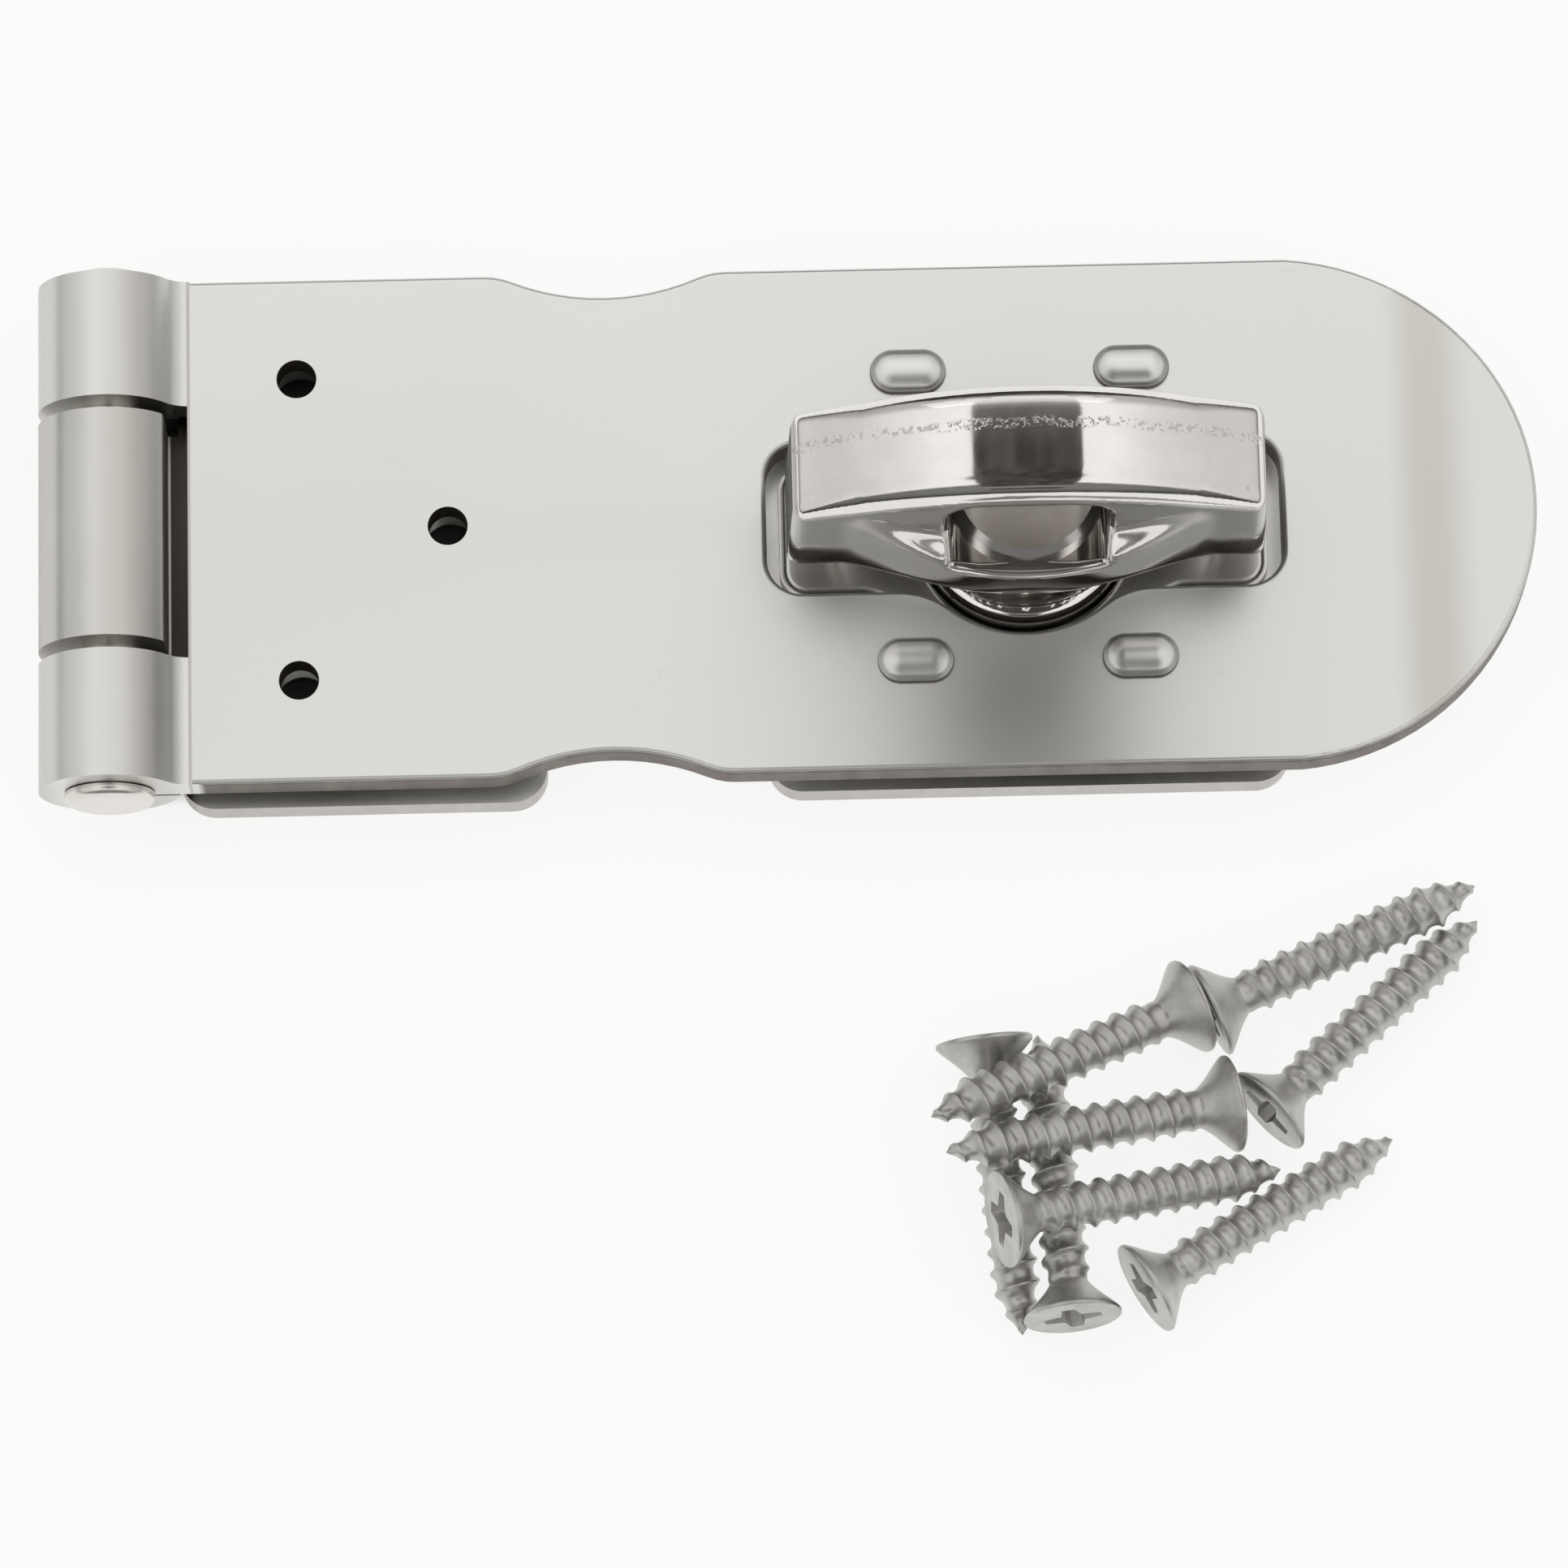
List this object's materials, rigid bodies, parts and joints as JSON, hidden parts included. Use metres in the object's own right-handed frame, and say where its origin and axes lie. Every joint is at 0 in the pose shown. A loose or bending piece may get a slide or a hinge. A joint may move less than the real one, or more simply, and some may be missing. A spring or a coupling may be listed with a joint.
{
  "type": "hasp and staple",
  "caption": "Stainless hinged hasp leaf with a slot that drops over a turning padlock staple, on two screw-down base plates, with loose countersunk wood screws.",
  "frame": {"origin": "on the mounting face, straight below the hinge pin's axis and midway along the pin", "axes": "+X from the hinge barrel towards the leaf's free tip, +Y along the hinge pin, +Z out of the mounting face"},
  "size_m": [0.127, 0.0932, 0.03],
  "materials": {
    "satin_sheet": "satin rolled stainless sheet with rounded die-cut edges",
    "plate_sheet": "satin stainless sheet, duller than the leaf",
    "pin_steel": "turned stainless pin with closed-over heads",
    "polished_casting": "mirror-polished stainless casting with a faint pitted parting line",
    "rivet_steel": "polished stainless rivet and washer",
    "screw_steel": "dull passivated stainless"
  },
  "bodies": {
    "base_plates": {"hinge_base": "plate_sheet", "hinge_pin": "pin_steel", "staple_base": "plate_sheet", "mounting_screw_1": "screw_steel", "mounting_screw_2": "screw_steel", "mounting_screw_3": "screw_steel", "mounting_screw_4": "screw_steel", "mounting_screw_5": "screw_steel", "mounting_screw_6": "screw_steel", "mounting_screw_7": "screw_steel", "mounting_screw_8": "screw_steel"},
    "leaf": {"hasp_leaf": "satin_sheet"},
    "staple": {"turn_staple": "polished_casting", "pivot_rivet": "rivet_steel", "retaining_washer": "rivet_steel"}
  },
  "joints": [
    {"name": "hasp_swing", "type": "hinge", "parent": "base_plates", "child": "leaf", "pos_m": [0, 0, 0.006], "axis": [0, -1, 0], "range_deg": [0, 180]},
    {"name": "staple_turn", "type": "hinge", "parent": "base_plates", "child": "staple", "pos_m": [0.0776, 0, 0.01], "axis": [0, 0, 1], "range_deg": [-90, 90]}
  ]
}
